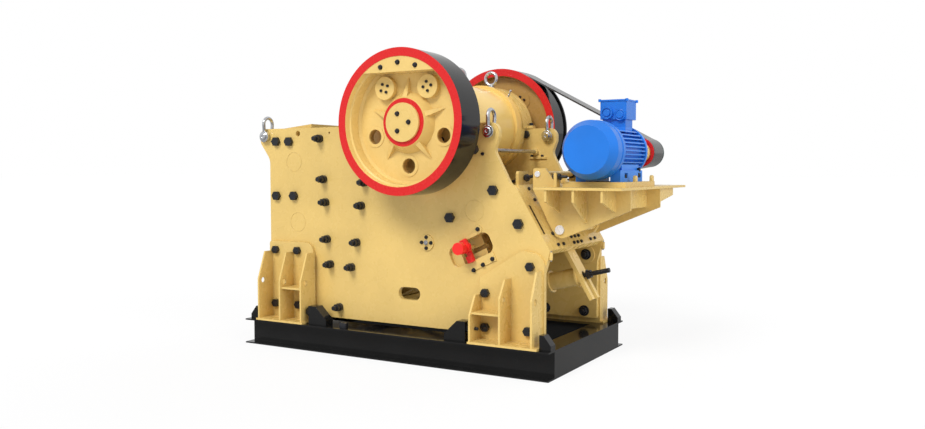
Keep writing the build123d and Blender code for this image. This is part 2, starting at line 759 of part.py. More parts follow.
hub_caps = []
for side in (-1, 1):
    y0 = side * (wheel_outer - hub_face)
    hub_caps.append(disc(shaft_x, shaft_z, y0, y0 + side * hub_cover, hub_cover_radius))
parts["hub_caps"] = hub_caps

# Toggle plate between the pitman and the seat in its holder
end_radius = toggle_thick / 2
toggle_low, toggle_high = seat_v - end_radius, seat_v + end_radius
toggle = gear_block(seat_u - toggle_length, seat_u, toggle_low, toggle_high, -toggle_half, toggle_half)
for x, z in (toggle_front, toggle_rear):
    toggle += disc(x, z, -toggle_half, toggle_half, end_radius)
parts["toggle_plate"] = [toggle]

insert = gear_block(seat_u, seat_u + 60, seat_v - 75, seat_v + 75, -toggle_half - 40, toggle_half + 40)
insert -= disc(*toggle_rear, -toggle_half - 60, toggle_half + 60, end_radius + run_gap)
parts["toggle_seat"] = [insert]
holder_half = wedge_end - 10
holder = gear_block(seat_u + 60, holder_back, guide_low, guide_high, -holder_half, holder_half)
parts["seat_holder"] = [holder]


def split_u(y):
    """The sloping joint between the two wedges."""
    return wedge_split - wedge_slope * y


def wedge(points, side, u):
    """A wedge with its piston rod, pulled outward on one side of the machine."""
    body = gear_slab(points, guide_low + run_gap, guide_high - run_gap)
    y0, y1 = sorted((side * (wedge_end - 90), side * (wedge_end + 5)))
    body -= gear_block(u - 40, u + 160, -35, 12, y0, y1)
    x, z = gear(u, cylinder_v)
    return body + disc(x, z, side * (wedge_end - 5), side * (side_outer + 110), piston_radius)


half_gap = run_gap / 2
near_line = [
    (holder_back + run_gap, -wedge_end), (split_u(-wedge_end) - half_gap, -wedge_end),
    (split_u(wedge_thin_end) - half_gap, wedge_thin_end), (holder_back + run_gap, wedge_thin_end),
]
far_line = [
    (split_u(-wedge_thin_end) + half_gap, -wedge_thin_end), (wedge_back - run_gap, -wedge_thin_end),
    (wedge_back - run_gap, wedge_end), (split_u(wedge_end) + half_gap, wedge_end),
]
parts["wedge_near"] = [wedge(near_line, -1, cylinder_u)]
parts["wedge_far"] = [wedge(far_line, 1, far_cylinder_u)]

# Wedge cylinders, each on a crossbar over its window
cylinders = []
for side, u in ((-1, cylinder_u), (1, far_cylinder_u)):
    x, z = gear(u, cylinder_v)
    y0, y1 = sorted((side * side_outer, side * (side_outer + crossbar)))
    bar = gear_block(u - 30, u + 30, -window_high / 2 - 14, window_high / 2 + 14, y0, y1)
    foot_end = side * (side_outer + crossbar)
    b0, b1 = sorted((foot_end, foot_end + side * 34))
    for v in (-window_high / 2 + 22, window_high / 2 - 22):
        bar += gear_block(u - 36, u + 36, v - 36, v + 36, b0, b1)
    bar += disc(x, z, foot_end, foot_end + side * 50, cylinder_flange)
    bar += disc(x, z, foot_end, foot_end + side * (cylinder_long - 25), cylinder_radius - 6)
    bar += disc(x, z, foot_end + side * (cylinder_long - 70), foot_end + side * cylinder_long, cylinder_cap)
    bore_end = side * (side_outer + 110 + wedge_stroke + 8)
    bar -= disc(x, z, side * (side_outer - 10), bore_end, piston_radius + run_gap)
    cylinders.append(bar - parts["side_plates"][0 if side > 0 else 1])
parts["wedge_cylinders"] = cylinders

# Motor: fan cowl, finned body with end shield and feet, terminal box
cowl_pts = [
    (0, cowl_front), (cowl_face_radius, cowl_front), (cowl_radius - 8, cowl_front + cowl_chamfer),
    (cowl_radius, cowl_front + cowl_chamfer + 15), (cowl_radius, cowl_front + 215),
    (cowl_radius - 6, cowl_front + 220), (cowl_radius - 6, cowl_front + 230),
    (cowl_radius + 4, cowl_front + 236), (cowl_radius + 4, cowl_back - 20),
    (cowl_radius - 10, cowl_back), (0, cowl_back),
]
parts["motor_cowl"] = [turned(cowl_pts, motor_x, motor_z)]

shield_back = stator_back + 85
motor_bore = 55 + fit
stator_pts = [
    (0, cowl_back), (stator_radius - 6, cowl_back),
    (stator_radius - 6, cowl_back + 30), (fin_root, cowl_back + 30),
    (fin_root, stator_back), (stator_radius + 8, stator_back), (stator_radius + 8, stator_back + 40),
    (stator_radius - 20, shield_back), (150, stator_back + 150), (100, stator_back + 300),
    (motor_bore, stator_back + 300), (motor_bore, stator_back + 100), (0, stator_back + 100),
]
stator = turned(stator_pts, motor_x, motor_z)
foot_top = motor_z - motor_height
fin_half = fin_count // 2
envelope = disc(motor_x, motor_z, cowl_back + 30, stator_back, stator_radius)
fins = envelope & block(
    motor_x - stator_radius, motor_x + stator_radius, cowl_back + 30, stator_back,
    motor_z - fin_thick / 2, motor_z + fin_thick / 2)
for i in range(1, fin_half + 1):
    for sign in (-1, 1):
        z = motor_z + sign * i * fin_pitch
        fins += envelope & block(
            motor_x - stator_radius, motor_x + stator_radius, cowl_back + 30, stator_back,
            z - fin_thick / 2, z + fin_thick / 2)
stator += fins
for sign in (-1, 1):
    x0, x1 = sorted((motor_x + sign * 130, motor_x + sign * foot_out))
    stator += block(x0, x1, foot_near, foot_far, foot_top, foot_top + 115)
    x0, x1 = sorted((motor_x + sign * 120, motor_x + sign * (foot_out - 22)))
    stator += block(x0, x1, foot_near + 100, foot_far - 60, foot_top + 110, motor_z - 140)
    for y in (foot_near + 170, foot_far - 90):
        x0, x1 = sorted((motor_x + sign * (foot_out - 30), motor_x + sign * (foot_out + 5)))
        stator -= block(x0, x1, y - 45, y + 45, foot_top + 42, foot_top + 88)
neck_y = (terminal_y[0] + 25, terminal_y[1] - 60)
neck_low = motor_z + stator_radius - 10
stator += block(motor_x - 125, motor_x + 125, *neck_y, motor_z, neck_low)
parts["motor_body"] = [stator]

box_low, box_high = motor_z + 330, motor_z + 520
neck = block(motor_x - 125, motor_x + 125, *neck_y, neck_low, box_low)
box = block(motor_x - 143, motor_x + 143, *terminal_y, box_low, box_high)
lid = block(motor_x - 150, motor_x + 150, terminal_y[0] - 8, terminal_y[1] + 8, box_high, box_high + 16)
for x in (motor_x - 148, motor_x + 148):
    for y in (terminal_y[0] - 6, terminal_y[1] + 6):
        lid += Pos(x, y, box_high + 8) * Cylinder(15, 28)
terminal = neck + box + lid
entry_x, entry_z = motor_x - 66, motor_z + 397
terminal += disc(entry_x, entry_z, terminal_y[0] - 28, terminal_y[0], 64)
terminal -= disc(entry_x, entry_z, terminal_y[0] - 40, terminal_y[0] - 16, 50)
terminal += disc(motor_x + 74, motor_z + 375, terminal_y[0] - 8, terminal_y[0], 60)
terminal -= parts["motor_body"][0]
parts["terminal_box"] = [terminal]

# Motor pulley and its shaft
pulley_pts = [
    (0, stator_back + 110), (55, stator_back + 110), (55, wheel_inner - 15), (110, wheel_inner - 15),
    (110, wheel_inner + 20), (pulley_radius - 30, wheel_inner + 20), (pulley_radius - 30, wheel_inner),
    (pulley_radius, wheel_inner), (pulley_radius, belt_mid - band_half),
    (pulley_radius - belt_thick - belt_gap, belt_mid - band_half),
    (pulley_radius - belt_thick - belt_gap, belt_mid + band_half), (pulley_radius, belt_mid + band_half),
    (pulley_radius, wheel_outer), (pulley_radius - 30, wheel_outer), (pulley_radius - 30, wheel_outer - 20),
    (0, wheel_outer - 20),
]
parts["motor_pulley"] = [turned(pulley_pts, motor_x, motor_z)]

# Drive belts: straight runs tangent to both wheels
belt_in_wheel = groove_floor + belt_gap
belt_in_pulley = pulley_radius - belt_thick
centres = hypot(motor_x - shaft_x, motor_z - shaft_z)
line_angle = degrees(atan2(motor_z - shaft_z, motor_x - shaft_x))


def belt_loop(extra):
    """Outline of the loop at a distance outside the belts' inner face."""
    r1, r2 = belt_in_wheel + extra, belt_in_pulley + extra
    lean = degrees(asin((r1 - r2) / centres))
    up, down = line_angle + 90 - lean, line_angle - 90 + lean
    p1 = along((shaft_x, shaft_z), up, r1)
    p2 = along((motor_x, motor_z), up, r2)
    p3 = along((motor_x, motor_z), down, r2)
    p4 = along((shaft_x, shaft_z), down, r1)
    m2 = along((motor_x, motor_z), line_angle, r2)
    m1 = along((shaft_x, shaft_z), line_angle + 180, r1)
    edges = Line((*p1[:1], 0, p1[1]), (p2[0], 0, p2[1]))
    edges += ThreePointArc((p2[0], 0, p2[1]), (m2[0], 0, m2[1]), (p3[0], 0, p3[1]))
    edges += Line((p3[0], 0, p3[1]), (p4[0], 0, p4[1]))
    edges += ThreePointArc((p4[0], 0, p4[1]), (m1[0], 0, m1[1]), (p1[0], 0, p1[1]))
    return make_face(edges)


band_wide = belt_span + belt_width
belts = extrude(belt_loop(belt_thick) - belt_loop(0), amount=band_wide, dir=(0, 1, 0))
parts["drive_belts"] = [Pos(0, belt_mid - band_wide / 2, 0) * belts]

# Motor base box and platform
base_box_low = platform_top
base_box = block(motor_x - 330, motor_x + 330, -500, 420, base_box_low, foot_top)
parts["motor_base"] = [base_box]

under = platform_top - platform_plate
web_end = platform_right - 35
web_low = under - 200
web_line = [
    (link_pin[0] - 52, under), (link_pin[0] - 50, link_pin[1] + 59), (link_pin[0] + 89, link_pin[1] + 59),
    (link_pin[0] + 181, link_pin[1] - 66), (link_pin[0] + 181, under), (web_end, under),
    (web_end, web_low), (pivot_pin[0] + 28, pivot_pin[1] - 89), (pivot_pin[0] - 57, pivot_pin[1] - 64),
]
web_radii = [0, 20, 20, 0, 0, 0, 0, 60, 60]
webs = []
for sign in (-1, 1):
    y0 = sign * web_y
    pts = [(x, y0, z) for x, z in web_line]
    face = make_face(FilletPolyline(*pts, radius=web_radii, close=True))
    sheet = extrude(face, amount=web_sheet, dir=(0, -sign, 0))
    sheet -= disc(pivot_pin[0], pivot_pin[1], -900, 900, pivot_radius + fit)
    sheet -= disc(link_pin[0], link_pin[1], -900, 900, link_radius + fit)
    webs.append(sheet)
panel_end = web_end - end_inset
webs[0] += block(panel_end - 18, panel_end, -web_y + web_sheet, web_y - web_sheet, web_low, under)
parts["platform_webs"] = [webs[0] + webs[1]]

deck = block(platform_left, platform_right, platform_near, platform_far, under, platform_top)
deck -= parts["platform_webs"][0]
parts["platform_deck"] = [deck]

gussets = []
for sign in (-1, 1):
    for x, deep in ((1800, 230), (2090, 340), (2385, 218)):
        y0 = sign * web_y
        y1 = sign * (web_y + gusset_reach)
        pts = [(y0, under), (y1, under), (y1, under - 114), (y0, under - deep)]
        face = make_face(Polyline(*[(x, y, z) for y, z in pts], close=True))
        gussets.append(extrude(face, amount=25, dir=(1, 0, 0)))
wing = [(web_y, under), (web_y + 450, under), (web_y + 450, under - 80), (web_y, under - 140)]
wing = make_face(Polyline(*[(web_end - 18, y, z) for y, z in wing], close=True))
gussets.append(extrude(wing, amount=18, dir=(1, 0, 0)))
parts["platform_gussets"] = gussets

pins = [disc(pivot_pin[0], pivot_pin[1], -web_y - 18, web_y + 18, pivot_radius)]
pins.append(disc(link_pin[0], link_pin[1], -web_y - 12, web_y + 12, link_radius))
parts["platform_pins"] = pins

# Link screws from the rear wall's lugs to the platform's upper pin
links = []
to_lug = (link_pin[0] - lug_x1) / cos(radians(link_angle))
for sign in (-1, 1):
    y = sign * link_y
    link = extrude(link_place(y, to_lug + 158) * Circle(screw_radius), amount=to_lug + 158)
    link += disc(link_pin[0], link_pin[1], y - 24, y + 24, link_radius + 20)
    for distance in (to_lug - 14, to_lug + 90):
        link += extrude(link_place(y, distance) * RegularPolygon(38, 6), amount=38)
    links.append(link - disc(link_pin[0], link_pin[1], y - 30, y + 30, link_radius + fit))
parts["link_screws"] = links

# Tension rod from the pitman through its spring housing to the hanger
hanger_dir = degrees(atan2(slope_low[1] - slope_top[1], slope_low[0] - slope_top[0]))
across, down = hanger_start[0] - rod_start[0], hanger_start[1] - rod_start[1]
lean_out = radians(hanger_dir - rod_angle)
rod_reach = (across * sin(radians(hanger_dir)) - down * cos(radians(hanger_dir))) / sin(lean_out)


def rod_place(distance):
    """A plane across the rod at a distance from its front pin."""
    a = radians(rod_angle)
    origin = (rod_start[0] + distance * cos(a), 0, rod_start[1] + distance * sin(a))
    return Plane(origin=origin, x_dir=(0, 1, 0), z_dir=(cos(a), 0, sin(a)))


tension = extrude(rod_place(30) * Circle(rod_radius), amount=rod_reach + rod_overhang - 30)
tension += disc(*rod_start, -37, 37, 55)
tension -= disc(*rod_start, -50, 50, rod_pin + fit)
tension += extrude(rod_place(rod_reach + 44) * RegularPolygon(46, 6), amount=38)
tension += extrude(rod_place(rod_reach + 34) * Circle(52), amount=10)
parts["tension_rod"] = [tension]
parts["rod_pin"] = [disc(*rod_start, -85, 85, rod_pin)]

hanger_top = along(hanger_start, hanger_dir, -60)
hanger_low = along(hanger_start, hanger_dir, hanger_long)
square = hanger_dir + 90
hang = [
    hanger_top, hanger_low,
    along(hanger_low, square, -hanger_plate), along(hanger_top, square, -hanger_plate),
]
hanger = prism(hang, -hanger_half, hanger_half)
crossing = along(rod_start, rod_angle, rod_reach)
fork = [
    along(along(crossing, hanger_dir, side), square, out)
    for side, out in ((0, -hanger_plate - 20), (hanger_long, -hanger_plate - 20), (hanger_long, 20), (0, 20))
]
hanger -= prism(fork, -rod_way, rod_way)
hanger -= extrude(rod_place(rod_reach - 200) * Circle(rod_way), amount=400)
parts["rod_hanger"] = [hanger - rear]

# Spring housing on the rod, cut square to the hanger at its rear end
front_end = rod_reach - housing_long
housing_rear = rod_reach + 60
tube = extrude(rod_place(front_end) * Circle(spring_radius), amount=housing_rear - front_end)
tube += extrude(rod_place(front_end) * Circle(spring_flange), amount=22)
tube += extrude(rod_place(rod_reach - 75) * Circle(spring_flange), amount=22)
tube -= extrude(rod_place(front_end - 10) * Circle(rod_way), amount=housing_rear - front_end + 30)
behind = [along(hanger_top, hanger_dir, -900), along(hanger_low, hanger_dir, 900)]
behind = [along(p, square, -hanger_plate) for p in behind]
beyond = [along(p, square, 900) for p in reversed(behind)]
tube -= prism(behind + beyond, -400, 400)
parts["spring_housing"] = [tube]

for name, shapes in parts.items():
    solids = []
    for shape in shapes:
        solids += shape.solids()
    made = Compound(children=solids) if len(solids) > 1 else solids[0]
    export_step(made, f"parts/{name}.step")
    print(name, len(solids), round(sum(s.volume for s in solids) / 1e9, 4))
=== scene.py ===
"""Paint, small fittings, stage, light and camera for the jaw crusher."""
from math import cos, pi, radians, sin, sqrt

import bmesh
import bpy
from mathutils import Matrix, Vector
from mathutils.bvhtree import BVHTree


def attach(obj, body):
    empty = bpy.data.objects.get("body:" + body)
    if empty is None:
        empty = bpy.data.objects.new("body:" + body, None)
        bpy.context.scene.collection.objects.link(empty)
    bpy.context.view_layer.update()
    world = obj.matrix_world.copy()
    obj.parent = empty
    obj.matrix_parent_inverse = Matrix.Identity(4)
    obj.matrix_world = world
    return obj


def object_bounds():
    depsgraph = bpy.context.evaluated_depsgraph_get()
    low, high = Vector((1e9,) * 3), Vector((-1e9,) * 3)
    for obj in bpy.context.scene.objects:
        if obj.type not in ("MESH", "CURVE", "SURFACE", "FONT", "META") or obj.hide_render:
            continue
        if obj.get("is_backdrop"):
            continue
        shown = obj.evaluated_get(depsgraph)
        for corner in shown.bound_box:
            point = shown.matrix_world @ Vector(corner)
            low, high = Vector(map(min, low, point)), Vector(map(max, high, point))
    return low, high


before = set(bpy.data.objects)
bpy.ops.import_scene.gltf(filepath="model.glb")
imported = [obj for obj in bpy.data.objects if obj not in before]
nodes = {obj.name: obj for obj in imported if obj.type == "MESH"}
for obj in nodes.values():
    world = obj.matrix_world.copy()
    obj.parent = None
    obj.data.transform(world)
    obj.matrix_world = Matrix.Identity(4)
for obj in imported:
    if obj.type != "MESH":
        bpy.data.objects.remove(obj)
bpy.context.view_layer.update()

# Lengths are in metres and angles in degrees. The near side is at -Y and the far side at +Y.
NEAR, FAR = -1, 1
UP, DOWN = Vector((0.0, 0.0, 1.0)), Vector((0.0, 0.0, -1.0))
TO_FEED, TO_MOTOR = Vector((-1.0, 0.0, 0.0)), Vector((1.0, 0.0, 0.0))
TO_NEAR, TO_FAR = Vector((0.0, -1.0, 0.0)), Vector((0.0, 1.0, 0.0))

SHAFT = Vector((0.386, 0.0, 2.528))  # middle of the eccentric shaft
MOTOR = Vector((2.186, 0.0, 2.238))  # middle of the motor's shaft
PLATE = 0.72                         # middle of a side plate, from the machine's middle
WHEEL_MIDDLE = 1.103                 # middle of a wheel's width, from the machine's middle
WHEEL_HALF = 0.185                   # half of a wheel's width


# Materials
class Tree:
    """A node tree that is built node by node."""

    def __init__(self, tree):
        self.nodes, self.links = tree.nodes, tree.links

    def node(self, kind, inputs=None, **settings):
        """A new node, with a value or a link for each of the inputs named."""
        item = self.nodes.new(kind)
        for key, value in settings.items():
            setattr(item, key, value)
        for key, value in (inputs or {}).items():
            self.feed(item.inputs[key], value)
        return item

    def feed(self, socket, value):
        """Link an output to a socket, or write a value or a colour on it."""
        if isinstance(value, bpy.types.NodeSocket):
            self.links.new(value, socket)
        elif socket.type == "RGBA":
            socket.default_value = (*value, 1.0)
        else:
            socket.default_value = value

    def math(self, operation, first, second=0.0):
        return self.node("ShaderNodeMath", {0: first, 1: second}, operation=operation).outputs[0]

    def times(self, first, *others):
        """The product of some values or masks."""
        for other in others:
            first = self.math("MULTIPLY", first, other)
        return first

    def ramp(self, source, low, high, at=(0.35, 0.65)):
        """From low to high, while the source goes from the one value of at to the other."""
        inputs = {"Value": source, "From Min": at[0], "From Max": at[1],
                  "To Min": low, "To Max": high}
        return self.node("ShaderNodeMapRange", inputs).outputs["Result"]

    def blend(self, share, first, second):
        """The first shader, and the second one by its share."""
        return self.node("ShaderNodeMixShader", {0: share, 1: first, 2: second}).outputs[0]


class Shader(Tree):
    """A material on a Principled shader, drawn in the object's own coordinates."""

    def __init__(self, name):
        self.mat = bpy.data.materials.new(name)
        self.mat.use_nodes = True
        super().__init__(self.mat.node_tree)
        self.bsdf = self.nodes["Principled BSDF"]
        space = self.node("ShaderNodeTexCoord")
        self.coords, self.normal = space.outputs["Object"], space.outputs["Normal"]

    def give(self, name, value):
        """Feed one of the shader's inputs."""
        self.feed(self.bsdf.inputs[name], value)

    def source(self, name):
        """The output that feeds one of the shader's inputs."""
        return self.bsdf.inputs[name].links[0].from_socket

    def split(self, vector):
        return self.node("ShaderNodeSeparateXYZ", {0: vector}).outputs

    def noise(self, scale, detail, rough=0.55, stretch=None):
        vector = self.coords
        if stretch:
            mapping = self.node("ShaderNodeMapping", {"Vector": vector, "Scale": stretch})
            vector = mapping.outputs["Vector"]
        inputs = {"Vector": vector, "Scale": scale, "Detail": detail, "Roughness": rough}
        return self.node("ShaderNodeTexNoise", inputs).outputs["Fac"]

    def mix(self, mask, first, second):
        """The first colour, and the second one where the mask is 1."""
        inputs = {"Factor": mask, "A": first, "B": second}
        return self.node("ShaderNodeMix", inputs, data_type="RGBA").outputs["Result"]

    def bevel(self, radius):
        return self.node("ShaderNodeBevel", {"Radius": radius}, samples=4).outputs["Normal"]

    def edges(self, radius):
        """A mask of the outward corners, from a rounded normal against the flat one."""
        flat = self.node("ShaderNodeNewGeometry").outputs["Normal"]
        inputs = {0: self.bevel(radius), 1: flat}
        dot = self.node("ShaderNodeVectorMath", inputs, operation="DOT_PRODUCT").outputs["Value"]
        return self.ramp(dot, 1.0, 0.0, (0.90, 0.995))

    def bump(self, height, strength, distance, corner):
        """Fine relief, with the corners rounded to a radius."""
        inputs = {"Height": height, "Strength": strength, "Distance": distance,
                  "Normal": self.bevel(corner)}
        self.give("Normal", self.node("ShaderNodeBump", inputs).outputs["Normal"])


def paint(name, color, rough, wear=0.0, under=(0.30, 0.27, 0.22), shade=0.10, corner=0.004,
          gloss=0.35, dust=0.25):
    """Sprayed enamel: slow colour drift, fine orange peel, rubbed corners and a little dust."""
    s = Shader(name)
    dark = tuple(c * (1.0 - shade) for c in color)
    lite = tuple(min(1.0, c * (1.0 + shade * 0.6)) for c in color)
    dusty = tuple(0.62 * c + 0.12 for c in color)
    drift = s.mix(s.ramp(s.noise(1.7, 3.0), 0.0, 1.0), dark, lite)
    streaks = s.ramp(s.noise(4.0, 3.0, 0.5, (1.0, 1.0, 0.40)), 0.0, 0.35, (0.50, 0.85))
    coat = s.mix(s.times(streaks, dust), drift, dusty)
    if wear:
        patches = s.ramp(s.noise(38.0, 3.0), 0.0, wear, (0.52, 0.70))
        coat = s.mix(s.times(s.edges(corner), patches), coat, under)
    s.give("Base Color", coat)
    s.give("Roughness", s.ramp(s.noise(9.0, 2.0), rough * 0.92, rough * 1.12))
    s.give("Specular IOR Level", gloss)
    s.bump(s.noise(70.0, 2.0), 0.002, 0.002, corner)
    return s


def metal(name, color, rough, grain=None, scale=90.0, metallic=1.0):
    """Bare or plated metal with a fine grain and uneven gloss. Rubber has the same grain."""
    s = Shader(name)
    dark = tuple(c * 0.78 for c in color)
    patches = s.ramp(s.noise(scale * 0.3, 4.0, 0.6, grain), 0.0, 1.0)
    s.give("Base Color", s.mix(patches, dark, color))
    s.give("Metallic", metallic)
    s.give("Roughness", s.ramp(s.noise(scale * 0.5, 3.0), rough * 0.8, rough * 1.35))
    s.bump(s.noise(scale, 3.0, 0.6, grain), 0.03, 0.001, 0.002)
    return s.mat


TAN = (0.690, 0.482, 0.155)
# Painted light: a lighter copy of the tan for the wheels and the pulley, which lifts the shade in
# the wheels' dished webs
WHEEL_LIT_TAN = (0.735, 0.515, 0.172)
RED = (0.600, 0.015, 0.015)
BLACK = (0.008, 0.008, 0.008)
PLATED = (0.84, 0.84, 0.86)

TAN_COAT = {"rough": 0.27, "shade": 0.05, "gloss": 0.42, "dust": 0.10}
WHEEL_COAT = {"rough": 0.27, "shade": 0.05, "gloss": 0.33, "dust": 0.10}
BLUE_COAT = {"rough": 0.30, "wear": 0.15, "under": (0.20, 0.24, 0.30), "shade": 0.08,
             "corner": 0.003, "dust": 0.15}

tan_paint = paint("tan_enamel", TAN, **TAN_COAT).mat
red_paint = paint("red_enamel", (0.760, 0.022, 0.018), 0.28, 0.20).mat
# Painted highlight: a lighter copy of the tan for the swing jaw, so that its barrel looks more
# brightly lit
jaw_highlight_paint = paint("jaw_highlight_enamel", (0.790, 0.540, 0.158), 0.20,
                  shade=0.03, gloss=0.50, dust=0.05).mat
black_paint = paint("black_enamel", BLACK, 0.11, 0.20, (0.10, 0.09, 0.08),
                    shade=0.20, gloss=0.32, dust=0.04).mat
blue_paint = paint("blue_enamel", (0.011, 0.165, 0.630), **BLUE_COAT).mat
# Painted highlight: a lighter copy of the motor's blue for its body and fins, so that they look
# more brightly lit than the cowl
body_highlight_paint = paint("body_highlight_enamel", (0.026, 0.215, 0.735), **BLUE_COAT).mat
yellow_zinc = paint("yellow_zinc", (0.820, 0.370, 0.035), 0.30).mat
# Painted shade: a dark brown for the strips that stand in for the shade inside the slits
slit_shade_paint = paint("slit_painted_shade", (0.050, 0.022, 0.007), 0.6, gloss=0.1, dust=0.0).mat
bolt_steel = metal("black_oxide_steel", (0.013, 0.014, 0.018), 0.30, metallic=0.1)
chrome = metal("plated_steel", (0.70, 0.71, 0.73), 0.16)
dull_steel = metal("dull_steel", (0.50, 0.50, 0.51), 0.30)
worn_steel = metal("worked_steel", (0.20, 0.185, 0.17), 0.42, (1.0, 1.0, 0.2), 30.0)
rubber = metal("belt_rubber", (0.050, 0.050, 0.051), 0.20, scale=140.0, metallic=0.0)


def wheel_paint(name, center, outer, ring_in, skin, edge, web_painted_light, hub=None):
    """A wheel's paint by radius and depth.

    The rim's faces are red outward of ring_in, down to a depth of skin, and the tread has the
    colour edge. The rest is tan; inward of ring_in, on the side that faces the machine, it takes
    the colour given for the painted light there: a painted shade on the wheels and a painted
    highlight on the pulley. A hub is a red ring: its smaller and larger radius and the depth that
    it begins at.
    """
    tread_deep, tread_rough, web_back = 0.03, 0.10, WHEEL_MIDDLE - 0.04
    s = paint(name, WHEEL_LIT_TAN, **WHEEL_COAT)
    base, satin = s.source("Base Color"), s.source("Roughness")
    place = s.split(s.coords)
    dx = s.math("SUBTRACT", place["X"], center.x)
    dz = s.math("SUBTRACT", place["Z"], center.z)
    radius = s.math("SQRT", s.math("ADD", s.times(dx, dx), s.times(dz, dz)))
    depth = s.math("ABSOLUTE", place["Y"])
    off_middle = s.math("ABSOLUTE", s.math("SUBTRACT", depth, WHEEL_MIDDLE))
    flat = s.math("GREATER_THAN", s.math("ABSOLUTE", s.split(s.normal)["Y"]), 0.9)
    face = s.times(flat, s.math("GREATER_THAN", off_middle, WHEEL_HALF - skin))
    rim = s.times(s.math("GREATER_THAN", radius, ring_in), face)
    # Painted light: the web on the side that faces the machine, inward of the red ring, gets a
    # painted shade on the wheels and a painted highlight on the pulley
    back = s.times(s.math("LESS_THAN", depth, web_back), s.math("LESS_THAN", radius, ring_in))
    color = s.mix(rim, s.mix(back, base, web_painted_light), RED)
    if hub:
        low, high, deep = hub
        ring = s.times(s.math("GREATER_THAN", radius, low), s.math("LESS_THAN", radius, high),
                       flat, s.math("GREATER_THAN", depth, deep))
        color = s.mix(ring, color, RED)
    tread = s.times(s.math("GREATER_THAN", radius, outer - tread_deep),
                    s.math("SUBTRACT", 1.0, face))
    s.give("Base Color", s.mix(tread, color, edge))
    rest = s.times(satin, s.math("SUBTRACT", 1.0, tread))
    s.give("Roughness", s.math("ADD", rest, s.times(tread, tread_rough)))
    return s.mat


def pin_paint():
    """The platform's pins: plated ends, painted between the two webs."""
    web = 0.456
    s = paint("pin_enamel", TAN, **TAN_COAT)
    ends = s.math("GREATER_THAN", s.math("ABSOLUTE", s.split(s.coords)["Y"]), web)
    s.give("Base Color", s.mix(ends, s.source("Base Color"), PLATED))
    s.give("Metallic", s.times(ends, 0.35))
    return s.mat


pin_mat = pin_paint()
# Painted shade: the wheels' webs are darker on the side that faces the machine
wheel_mat = wheel_paint("wheel_enamel", SHAFT, outer=0.75, ring_in=0.661, skin=0.008, edge=BLACK,
                        web_painted_light=(0.455, 0.262, 0.075), hub=(0.199, 0.262, 1.17))
# Painted highlight: the pulley's web is lighter on the side that faces the machine
pulley_mat = wheel_paint("pulley_enamel", MOTOR, outer=0.165, ring_in=0.112, skin=0.023,
                         edge=(0.004, 0.035, 0.028), web_painted_light=(0.86, 0.66, 0.28))

FINISH = {
    tan_paint: "side_plates front_wall rear_wall bearing_housings front_feet rear_feet motor_base "
               "platform_webs platform_deck platform_gussets seat_holder wedge_near wedge_far "
               "spring_housing rod_hanger toggle_plate toggle_seat hub_caps",
    jaw_highlight_paint: "pitman",
    black_paint: "side_beams end_beams base_stops",
    blue_paint: "motor_cowl terminal_box",
    body_highlight_paint: "motor_body",
    red_paint: "wedge_cylinders",
    bolt_steel: "frame_bolts cheek_studs link_screws tension_rod rod_pin",
    chrome: "lifting_shackles eyebolts eccentric_shaft",
    dull_steel: "tie_rod",
    worn_steel: "fixed_jaw_plate swing_jaw_plate cheek_plates",
    rubber: "drive_belts",
    pin_mat: "platform_pins",
    wheel_mat: "flywheel drive_wheel",
    pulley_mat: "motor_pulley",
}
for finish, names in FINISH.items():
    for name in names.split():
        for item in nodes[name].material_slots:
            item.material = finish


# Small fittings, each seated on the node that carries it
BEYOND_PLATE, WITHIN_PLATE = 1.1, 0.50      # starts of the lines that look for a surface
BEYOND_WHEEL, BEHIND_WHEEL = 1.6, 0.88
ABOVE_DECK = 2.2
surfaces = {}


def seat(name, start, way):
    """Where a straight line from a start first meets a node."""
    if name not in surfaces:
        mesh = nodes[name].data
        points = [vertex.co for vertex in mesh.vertices]
        surfaces[name] = BVHTree.FromPolygons(points, [face.vertices for face in mesh.polygons])
    place = surfaces[name].ray_cast(Vector(start), Vector(way).normalized())[0]
    if place is None:
        raise ValueError(f"nothing of {name} at {tuple(start)}")
    return place


def outer_face(side, x, z):
    """A point on the outside of a side plate."""
    return seat("side_plates", (x, side * BEYOND_PLATE, z), (0.0, -side, 0.0))


def inner_face(side, x, z):
    """A point on the inside of a side plate."""
    return seat("side_plates", (x, side * WITHIN_PLATE, z), (0.0, side, 0.0))


def both_sides():
    """Each side's sign, with the directions toward the machine's middle and away from it."""
    for side in (NEAR, FAR):
        yield side, Vector((0.0, -side, 0.0)), Vector((0.0, side, 0.0))


def axes(way):
    """A direction and two more across it, all of length one."""
    way = Vector(way).normalized()
    across = way.orthogonal().normalized()
    return way, across, way.cross(across)


def polar(radius, degrees_up):
    """An (X, Z) step from a centre, at an angle measured up from +X."""
    angle = radians(degrees_up)
    return radius * cos(angle), radius * sin(angle)


def oblong(half, low, high):
    """The outline of a block."""
    return [(-half, low), (half, low), (half, high), (-half, high)]


